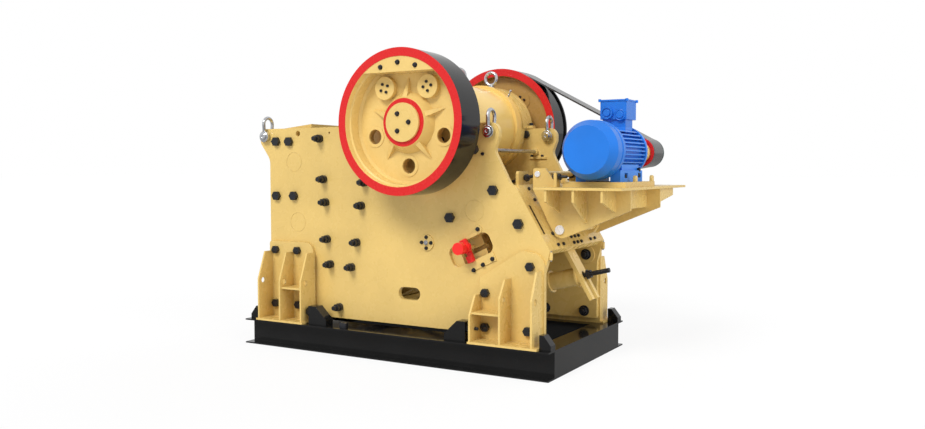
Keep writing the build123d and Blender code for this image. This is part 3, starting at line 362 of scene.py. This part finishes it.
class Build:
    """A mesh made of turned shapes, blocks and rings, each with a place and a direction.

    Most of them begin 1 mm inside the surface that they stand on.
    """

    def __init__(self):
        self.mesh = bmesh.new()

    def skin(self, rings):
        """Faces from each ring of corners to the next, closed at both ends."""
        count = len(rings[0])
        for low, high in zip(rings, rings[1:]):
            for a in range(count):
                b = (a + 1) % count
                self.mesh.faces.new((low[a], low[b], high[b], high[a]))
        self.mesh.faces.new(rings[0][::-1])
        self.mesh.faces.new(rings[-1])

    def turned(self, place, way, profile, sides):
        """Rings of (distance, radius) along a direction."""
        way, across, other = axes(way)
        rings = []
        for distance, radius in profile:
            ring = []
            for step in range(sides):
                angle = 2.0 * pi * step / sides
                out = (across * cos(angle) + other * sin(angle)) * radius
                ring.append(self.mesh.verts.new(Vector(place) + way * distance + out))
            rings.append(ring)
        self.skin(rings)

    def bolt(self, place, way, across, high, washer=0.0):
        """A chamfered hexagon head, on a washer whose radius is given as a share of its width."""
        thick = 0.12 * across if washer else 0.0
        if washer:
            rim = washer * across
            self.turned(place, way, [(-0.001, rim), (thick * 0.7, rim), (thick, rim * 0.95)], 24)
        r = across / sqrt(3.0)
        top = thick + high
        self.turned(place, way, [(thick - 0.001, r), (top - high * 0.16, r), (top, r * 0.87)], 6)

    def cap_screw(self, place, way, radius, high):
        """A round socket head with its hole."""
        self.turned(place, way, [(-0.001, radius), (high * 0.85, radius), (high, radius * 0.88),
                                 (high, radius * 0.55), (high * 0.45, radius * 0.50),
                                 (high * 0.40, 0.001)], 12)

    def block(self, place, way, up, outline, thick, soft):
        """An outline of (right, up) points raised along a direction, with a softened edge."""
        way, up = Vector(way).normalized(), Vector(up).normalized()
        right = up.cross(way)
        middle = Vector([sum(values) / len(outline) for values in zip(*outline)])
        rings = []
        for distance, inset in ((-0.001, 0.0), (thick - soft, 0.0), (thick, soft)):
            ring = []
            for point in outline:
                out = Vector(point) - middle
                out = middle + out * (1.0 - inset / out.length)
                ring.append(self.mesh.verts.new(
                    Vector(place) + way * distance + right * out.x + up * out.y))
            rings.append(ring)
        self.skin(rings)

    def ring(self, place, way, radius, tube, steps=40, sides=10):
        """A round bar bent into a ring about a direction."""
        way, across, other = axes(way)
        loops = []
        for step in range(steps):
            turn = 2.0 * pi * step / steps
            out = across * cos(turn) + other * sin(turn)
            loop = []
            for side in range(sides):
                angle = 2.0 * pi * side / sides
                spot = Vector(place) + out * (radius + tube * cos(angle))
                loop.append(self.mesh.verts.new(spot + way * (tube * sin(angle))))
            loops.append(loop)
        for step in range(steps):
            near, far = loops[step], loops[(step + 1) % steps]
            for a in range(sides):
                b = (a + 1) % sides
                self.mesh.faces.new((near[a], far[a], far[b], near[b]))

    def bead(self, start, end):
        """A weld bead from one point to another, slightly uneven."""
        radius, spacing, ripple, phase, tip = 0.006, 0.035, 0.05, 2.4, 0.3
        start, end = Vector(start), Vector(end)
        length = (end - start).length
        count = max(4, int(length / spacing))
        profile = [(0.0, radius * tip)]
        for step in range(1, count):
            wave = ripple * sin(step * phase)
            profile.append((length * step / count, radius * (1.0 + wave)))
        profile.append((length, radius * tip))
        self.turned(start, end - start, profile, 8)

    def finish(self, name, body, slot, material):
        """Turn the mesh into a piece that rides on a body."""
        data = bpy.data.meshes.new(name)
        self.mesh.normal_update()
        self.mesh.to_mesh(data)
        self.mesh.free()
        data.shade_smooth()
        data.set_sharp_from_angle(angle=radians(32.0))
        data.materials.append(material)
        item = bpy.data.objects.new(name, data)
        bpy.context.collection.objects.link(item)
        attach(item, body)


# Sizes of bolts: width across the flats, height, and the washer's radius as a share of the width
WHEEL_BOLT = (0.037, 0.018, 0.72)
HOLE_COVER_NUT = (0.026, 0.014)
HOLE_COVER_SCREW = (0.0155, 0.014)   # radius and height
ROUND_COVER_BOLT = (0.030, 0.016, 0.70)
WINDOW_BOLT = (0.034, 0.020, 0.70)
PLATE_BOLT = (0.034, 0.018)
FOOT_NUT = (0.084, 0.034, 0.74)
SLOPE_BOLT = (0.032, 0.020)
BEARING_COVER_BOLT = (0.046, 0.024, 0.66)
HOUSING_BOLT = (0.046, 0.026, 0.72)
MOTOR_FOOT_BOLT = (0.044, 0.026, 0.66)
MOTOR_SIDE_SCREW = (0.036, 0.030)
HUB_BOLT = (0.022, 0.012)

# Turned shapes: rings of (distance, radius)
ROUND_COVER_PIN = [(-0.001, 0.026), (0.016, 0.026), (0.022, 0.020)]
FOOT_STUD = [(0.0, 0.026), (0.074, 0.026), (0.080, 0.021)]
FOOT_SCREW_END = [(-0.001, 0.018), (0.034, 0.018), (0.040, 0.013)]
HINGE_BARREL = [(0.0, 0.014), (0.004, 0.020), (0.076, 0.020), (0.080, 0.014)]
HINGE_PIN = [(0.0, 0.009), (0.003, 0.012), (0.101, 0.012), (0.104, 0.009)]
SHACKLE_PIN = [(-0.034, 0.061), (-0.030, 0.066), (-0.004, 0.066), (0.002, 0.060), (0.003, 0.043),
               (0.016, 0.043), (0.023, 0.036), (0.024, 0.016), (0.019, 0.010)]
EYEBOLT_COLLAR = [(-0.002, 0.052), (0.010, 0.052), (0.016, 0.044), (0.026, 0.034),
                  (0.042, 0.027), (0.050, 0.019)]
TIE_ROD_NUT = [(-0.001, 0.054), (0.044, 0.054), (0.049, 0.047)]
TIE_ROD_END = [(0.040, 0.026), (0.062, 0.026), (0.067, 0.021)]
GREASE_NIPPLE = [(-0.002, 0.012), (0.022, 0.012), (0.026, 0.009), (0.050, 0.009),
                 (0.056, 0.013), (0.072, 0.013), (0.084, 0.005)]
EYE_SHANK = [(-0.002, 0.030), (0.014, 0.030), (0.018, 0.022), (0.034, 0.018), (0.046, 0.012)]
FOOT_PAD = [(-0.001, 0.105), (0.010, 0.105), (0.013, 0.101)]
JACK_SCREW = [(0.0, 0.015), (0.105, 0.015), (0.109, 0.012)]
JACK_HEAD = [(0.0, 0.032), (0.026, 0.032), (0.030, 0.028)]
JACK_NUT = [(0.0, 0.028), (0.004, 0.032), (0.027, 0.032)]
ENTRY_PLUG = [(-0.001, 0.036), (0.010, 0.036), (0.013, 0.033)]

# Bolts of the wheels: hub covers, balance segments and the covers over the upper holes
HUB_COVER_BOLTS = [(0.080, 0.0), (-0.057, 0.088), (-0.057, -0.088)]
SEGMENT_BOLTS = [(-0.21, 0.56), (0.0, 0.60), (0.21, 0.56)]
HOLE_COVERS = [(54.0, 99.0), (126.0, 120.0)]   # the cover's angle, and its first screw's
HOLE_RADIUS, SCREW_RADIUS = 0.445, 0.047
wheel_bolts = Build()
for side, inward, outward in both_sides():
    wheel = "flywheel" if side == NEAR else "drive_wheel"
    for node, places in (("hub_caps", HUB_COVER_BOLTS), (wheel, SEGMENT_BOLTS)):
        for dx, dz in places:
            at = seat(node, SHAFT + Vector((dx, side * BEYOND_WHEEL, dz)), inward)
            wheel_bolts.bolt(at, outward, *WHEEL_BOLT)
    for angle, turn in HOLE_COVERS:
        cx, cz = polar(HOLE_RADIUS, angle)
        for step in range(4):
            dx, dz = polar(SCREW_RADIUS, turn + 90.0 * step)
            spot = SHAFT + Vector((cx + dx, 0.0, cz + dz))
            at = seat(wheel, spot + outward * BEYOND_WHEEL, inward)
            wheel_bolts.cap_screw(at, outward, *HOLE_COVER_SCREW)
            at = seat(wheel, spot + outward * BEHIND_WHEEL, outward)
            wheel_bolts.bolt(at, inward, *HOLE_COVER_NUT)
wheel_bolts.finish("wheel_bolts", "rotor", "black_enamel", bolt_steel)

# Bolts on both faces of the side plates
ROUND_COVER, ROUND_COVER_RADIUS = (0.395, 1.265), 0.059
WINDOW = (0.934, 1.210)   # middle of the wedge window, which lies along the toggle line
WINDOW_TILT = radians(25.0)
WINDOW_BOLTS = [(0.204, -0.182), (0.077, -0.196), (-0.049, -0.206), (0.174, 0.162)]
INNER_BOLTS = [(0.915, 2.458, 0.084, -0.040), (0.951, 2.204, 0.034, 0.0),
               (1.084, 2.203, 0.034, 0.0)]   # X, Z, width and a shift along X
FOOT_NUTS = [(1.133, 0.780, 0.0), (1.640, 1.078, 0.012),
             (1.133, 0.425, 0.0), (1.618, 0.427, 0.0)]   # X, Z and the pad's thickness
side_bolts = Build()
pins = Build()
for side, inward, outward in both_sides():
    for turn in range(0, 360, 90):
        dx, dz = polar(ROUND_COVER_RADIUS, turn)
        at = outer_face(side, ROUND_COVER[0] + dx, ROUND_COVER[1] + dz)
        side_bolts.bolt(at, outward, *ROUND_COVER_BOLT)
    pins.turned(outer_face(side, *ROUND_COVER), outward, ROUND_COVER_PIN, 24)
    for u, v in WINDOW_BOLTS:
        x = WINDOW[0] + u * cos(WINDOW_TILT) - v * sin(WINDOW_TILT)
        z = WINDOW[1] + u * sin(WINDOW_TILT) + v * cos(WINDOW_TILT)
        side_bolts.bolt(outer_face(side, x, z), outward, *WINDOW_BOLT)
    side_bolts.bolt(outer_face(side, 1.076, 2.207), outward, *PLATE_BOLT)
    for x, z, across, shift in INNER_BOLTS:
        at = inner_face(side, x, z) + Vector((shift, 0.0, 0.0))
        side_bolts.bolt(at, inward, across, 0.45 * across)

    # Nuts of the rear foot on the inside of the side plate, one of them on a round pad
    for x, z, pad in FOOT_NUTS:
        at = inner_face(side, x, z) + inward * pad
        side_bolts.bolt(at, inward, *FOOT_NUT)
        side_bolts.turned(at, inward, FOOT_STUD, 16)

# Bolts of the slope strips and of the rod's hanger, by their distance from the machine's middle
SLOPE = Vector((0.8598, 0.0, 0.5106))   # straight out of the slope
HANGER_BOLTS = [(1.813, 1.275), (1.778, 1.335)]
SLOPE_BOLTS = {0.50: [(1.475, 1.845), (1.542, 1.733), (1.744, 1.393), (1.809, 1.283)],
               0.37: [(1.482, 1.834), (1.810, 1.282)],
               0.10: HANGER_BOLTS,
               0.0: HANGER_BOLTS}
for out, places in SLOPE_BOLTS.items():
    for x, z in places:
        for y in ((-out, out) if out else (0.0,)):
            at = seat("rear_wall", Vector((x, y, z)) + SLOPE * 0.3, -SLOPE)
            side_bolts.bolt(at, SLOPE, *SLOPE_BOLT)

# Jack screw ends in the feet, and the bolts of the bearing covers
FOOT_SCREW_OUT, FOOT_SCREW_HEIGHT = 0.9305, 0.428
BEARING_COVER_RADIUS = 0.310
for side, inward, outward in both_sides():
    for foot, start, way in (("rear_feet", 1.25, TO_FEED), ("front_feet", -1.28, TO_MOTOR)):
        at = seat(foot, (start, side * FOOT_SCREW_OUT, FOOT_SCREW_HEIGHT), way)
        side_bolts.turned(at, -way, FOOT_SCREW_END, 16)
    for turn in range(11, 360, 45):
        dx, dz = polar(BEARING_COVER_RADIUS, turn)
        at = seat("bearing_housings", SHAFT + Vector((dx, side * 0.90, dz)), inward)
        side_bolts.bolt(at, outward, *BEARING_COVER_BOLT)

# Hinge barrels, housing bolts, shackle pins, eyebolt collars, tie rod nuts and beam blocks
HINGE_HEIGHT, HINGE_OUT = 1.186, 0.010
SHACKLES, PIN_HEIGHT = (-1.868, 1.155), 2.436   # X of each pair of shackles
small_lugs = Build()
for side, inward, outward in both_sides():
    edge = seat("side_plates", (2.3, side * PLATE, HINGE_HEIGHT), TO_FEED) + TO_MOTOR * HINGE_OUT
    small_lugs.turned(edge - UP * 0.040, UP, HINGE_BARREL, 16)
    pins.turned(edge - UP * 0.052, UP, HINGE_PIN, 16)
    for x in (-0.145, 0.925):
        at = seat("bearing_housings", (x, side * PLATE, 3.1), DOWN)
        side_bolts.bolt(at, UP, *HOUSING_BOLT)
    for x in SHACKLES:
        for way in (inward, outward):
            ear = seat("lifting_shackles", Vector((x, side * PLATE, 2.394)) - way * 0.3, way)
            pins.turned((x, ear.y, PIN_HEIGHT), -way, SHACKLE_PIN, 32)
    pins.turned((SHAFT.x, side * PLATE, 3.024), UP, EYEBOLT_COLLAR, 24)
    at = Vector((0.990, side * 0.770, 2.255))
    side_bolts.turned(at, outward, TIE_ROD_NUT, 6)
    pins.turned(at, outward, TIE_ROD_END, 20)
    at = seat("side_beams", (-0.569, side * 0.96, 0.6), DOWN)
    side_bolts.block(at, UP, TO_FAR, oblong(0.043, -0.02, 0.02), 0.058, 0.006)
side_bolts.finish("side_bolts", "frame", "black_enamel", bolt_steel)
pins.finish("bright_pins", "frame", "bright_steel", chrome)

# Grease nipples on the swing jaw's end rings
nipples = Build()
for side in (NEAR, FAR):
    at = seat("pitman", (0.729, side * 0.50, 3.2), DOWN)
    nipples.turned(at, (0.45, 0.0, 0.89), GREASE_NIPPLE, 12)
nipples.finish("grease_nipples", "swing_jaw", "bright_steel", chrome)

# Lifting eye on top of the swing jaw's barrel
eye = Build()
at = seat("pitman", (SHAFT.x, -0.06, 3.3), DOWN)
eye.turned(at, UP, EYE_SHANK, 20)
eye.ring(at + UP * 0.108, (0.342, -0.940, 0.0), 0.074, 0.019)
eye.finish("jaw_eyebolt", "swing_jaw", "bright_steel", chrome)

# Painted shade: dark strips at the bottom of the slits between the slope and the side plates,
# standing in for the shade inside the slits
SLOPE_RISE = Vector((-0.5106, 0.0, 0.8598))
SHADE_STRIP_HALF, SHADE_STRIP_REACH, SHADE_STRIP_THICK = 0.0095, 0.160, 0.058
slit_shade_strips = Build()
for side in (NEAR, FAR):
    for y in (0.6585, 0.6795):
        at = Vector((1.6533, side * y, 1.545)) - SLOPE * 0.060
        outline = oblong(SHADE_STRIP_HALF, -SHADE_STRIP_REACH, SHADE_STRIP_REACH)
        slit_shade_strips.block(at, SLOPE, SLOPE_RISE, outline, SHADE_STRIP_THICK, 0.002)
slit_shade_strips.finish("slit_painted_shade", "frame", "machine_tan", slit_shade_paint)

# Weld beads on the feet's webs and the platform's gussets, seams and pads on the side plates
FOOT_WEBS = [(-1.762, 0.775), (-1.441, 0.775), (-1.130, 0.775),
             (1.072, 0.460), (1.412, 0.640), (1.762, 0.735)]   # X and height
FOOT_HALF = 0.011                                              # half of a web's thickness
GUSSETS = [(1.800, 0.230), (2.090, 0.340), (2.385, 0.218)]     # X and depth
GUSSET_THICK = 0.025
BEAM_TOP, DECK_UNDER = 0.300, 1.845
ROUND_SEAMS = [(-1.445, 2.135), (-1.392, 1.431), (0.977, 1.620)]
welds = Build()
for side, inward, outward in both_sides():
    for x, high in FOOT_WEBS:
        for edge in (x - FOOT_HALF, x + FOOT_HALF):
            welds.bead((edge, side * 0.787, 0.312), (edge, side * 0.787, BEAM_TOP + high))
            welds.bead((edge, side * 0.790, 0.310), (edge, side * 1.028, 0.310))
    for x, deep in GUSSETS:
        for edge in (x, x + GUSSET_THICK):
            welds.bead((edge, side * 0.482, DECK_UNDER - deep), (edge, side * 0.482, 1.843))
            welds.bead((edge, side * 0.484, DECK_UNDER), (edge, side * 0.824, DECK_UNDER))
    for x, z in ROUND_SEAMS:
        welds.ring(outer_face(side, x, z), outward, 0.110, 0.003, 60, 6)
    welds.turned(inner_face(side, 1.640, 1.078), inward, FOOT_PAD, 40)
welds.finish("weld_beads", "frame", "machine_tan", tan_paint)

# Eye lugs and the jack screw's lug on the motor's platform
LUG_THICK, JACK_HEIGHT = 0.030, 0.105
EYE_LUG = [(-0.030, 0.0), (0.030, 0.0)]
EYE_LUG += [(0.030 * cos(radians(a)), 0.036 + 0.030 * sin(radians(a))) for a in range(0, 181, 20)]
for y in (-0.155, 0.375):
    at = seat("motor_base", (2.500, y, ABOVE_DECK), DOWN) - Vector((0.016, 0.0, 0.001))
    small_lugs.block(at, TO_MOTOR, UP, EYE_LUG, LUG_THICK, 0.005)
at = seat("platform_deck", (1.818, -0.545, ABOVE_DECK), DOWN) - Vector((0.020, 0.0, 0.001))
small_lugs.block(at, TO_MOTOR, UP, oblong(0.045, 0.0, 0.145), LUG_THICK, 0.005)
small_lugs.finish("small_lugs", "frame", "machine_tan", tan_paint)

# The jack screw, and the bolts in the motor's feet
motor_bolts = Build()
JACK_PARTS = [(0.020, JACK_SCREW, 16), (0.029, JACK_HEAD, 6), (-0.026, JACK_NUT, 6)]
for shift, profile, sides in JACK_PARTS:
    motor_bolts.turned(at + Vector((shift, 0.0, JACK_HEIGHT)), TO_MOTOR, profile, sides)
for y in (-0.212, 0.200):
    for sign in (-1.0, 1.0):
        top = seat("motor_body", (MOTOR.x + sign * 0.218, y, 1.975), DOWN)
        motor_bolts.bolt(top, UP, *MOTOR_FOOT_BOLT)
for z in (1.996, 2.044):
    motor_bolts.bolt(seat("motor_body", (2.7, 0.200, z), TO_FEED), TO_MOTOR, *MOTOR_SIDE_SCREW)
motor_bolts.finish("motor_bolts", "frame", "black_enamel", bolt_steel)

# Bolts of the pulley's hub
HUB_RADIUS = 0.088
hub_bolts = Build()
for turn in range(0, 360, 45):
    dx, dz = polar(HUB_RADIUS, turn)
    at = seat("motor_pulley", MOTOR + Vector((dx, 0.80, dz)), TO_FAR)
    hub_bolts.bolt(at, TO_NEAR, *HUB_BOLT)
hub_bolts.finish("hub_bolts", "pulley", "machine_tan", yellow_zinc)

# Plugs of the terminal box's cable entries, and the rim round the rear one
plugs = Build()
for x, z in ((2.260, 2.613), (2.120, 2.635)):
    plugs.turned(seat("terminal_box", (x, -0.3, z), TO_FAR), TO_NEAR, ENTRY_PLUG, 32)
plugs.ring((2.260, 0.037, 2.613), TO_NEAR, 0.053, 0.006, 40, 8)
plugs.finish("entry_plugs", "frame", "motor_blue", blue_paint)


WHITE, ON_OFF = (1.0, 1.0, 1.0), (0.0, 1.0)

# Floor: white to the camera and to reflections, and it keeps the machine's shadow
bpy.ops.mesh.primitive_plane_add(size=400.0, location=(0.0, 0.0, -0.001))
floor = bpy.context.object
floor.name = "floor"
ground = bpy.data.materials.new("pale_floor")
ground.use_nodes = True
tree = Tree(ground.node_tree)
lit = tree.nodes["Principled BSDF"]
tree.feed(lit.inputs["Base Color"], (0.84, 0.84, 0.84))
tree.feed(lit.inputs["Roughness"], 0.9)
tree.feed(lit.inputs["Specular IOR Level"], 0.0)
rays = tree.node("ShaderNodeLightPath").outputs
strength = tree.ramp(rays["Is Camera Ray"], 0.35, 1.0, ON_OFF)
glow = tree.node("ShaderNodeEmission", {"Color": WHITE, "Strength": strength})
seen = tree.math("MAXIMUM", rays["Is Camera Ray"], rays["Is Glossy Ray"])
surface = tree.blend(tree.times(seen, 0.86), lit.outputs[0], glow.outputs[0])
tree.feed(tree.nodes["Material Output"].inputs["Surface"], surface)
floor.data.materials.append(ground)
floor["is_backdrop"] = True

# World: white to the camera and to reflections, and a soft light on the machine
world = bpy.data.worlds.new("studio")
bpy.context.scene.world = world
world.use_nodes = True
tree = Tree(world.node_tree)
tree.nodes.clear()
soft = tree.node("ShaderNodeBackground", {"Color": (0.97, 0.98, 1.0), "Strength": 0.46})
rays = tree.node("ShaderNodeLightPath").outputs
strength = tree.ramp(rays["Is Camera Ray"], 0.78, 1.0, ON_OFF)
white = tree.node("ShaderNodeBackground", {"Color": WHITE, "Strength": strength})
seen = tree.math("MAXIMUM", rays["Is Camera Ray"], rays["Is Glossy Ray"])
surface = tree.blend(seen, soft.outputs[0], white.outputs[0])
tree.node("ShaderNodeOutputWorld", {"Surface": surface})


def sun(name, toward, strength, spread, glossy=True):
    """A soft distant light that shines along a direction."""
    data = bpy.data.lights.new(name, "SUN")
    data.energy = strength
    data.angle = radians(spread)
    item = bpy.data.objects.new(name, data)
    item.rotation_euler = Vector(toward).to_track_quat("-Z", "Y").to_euler()
    item.visible_glossy = glossy
    bpy.context.collection.objects.link(item)


sun("key", (0.10, 0.72, -0.68), 2.30, 24.0)
sun("back", (-0.25, -0.70, -0.45), 0.9, 40.0, False)
sun("side", (-0.90, 0.25, -0.40), 1.20, 40.0, False)

# Camera, fitted to the base frame's corners and both wheels' outlines
FOCAL, PHOTO_WIDTH = 868.2, 925.0   # pixels
SENSOR = 36.0                       # millimetres
bpy.context.scene.view_settings.view_transform = "Standard"
azimuth, pitch = radians(29.97), radians(3.0)
camera = bpy.data.cameras.new("camera")
camera.sensor_width = SENSOR
camera.lens = FOCAL / PHOTO_WIDTH * SENSOR
view = bpy.data.objects.new("camera", camera)
view.location = (5.358, -8.594, 2.052)
look = Vector((-sin(azimuth) * cos(pitch), cos(azimuth) * cos(pitch), -sin(pitch)))
view.rotation_euler = look.to_track_quat("-Z", "Y").to_euler()
bpy.context.collection.objects.link(view)
bpy.context.scene.camera = view

low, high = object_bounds()
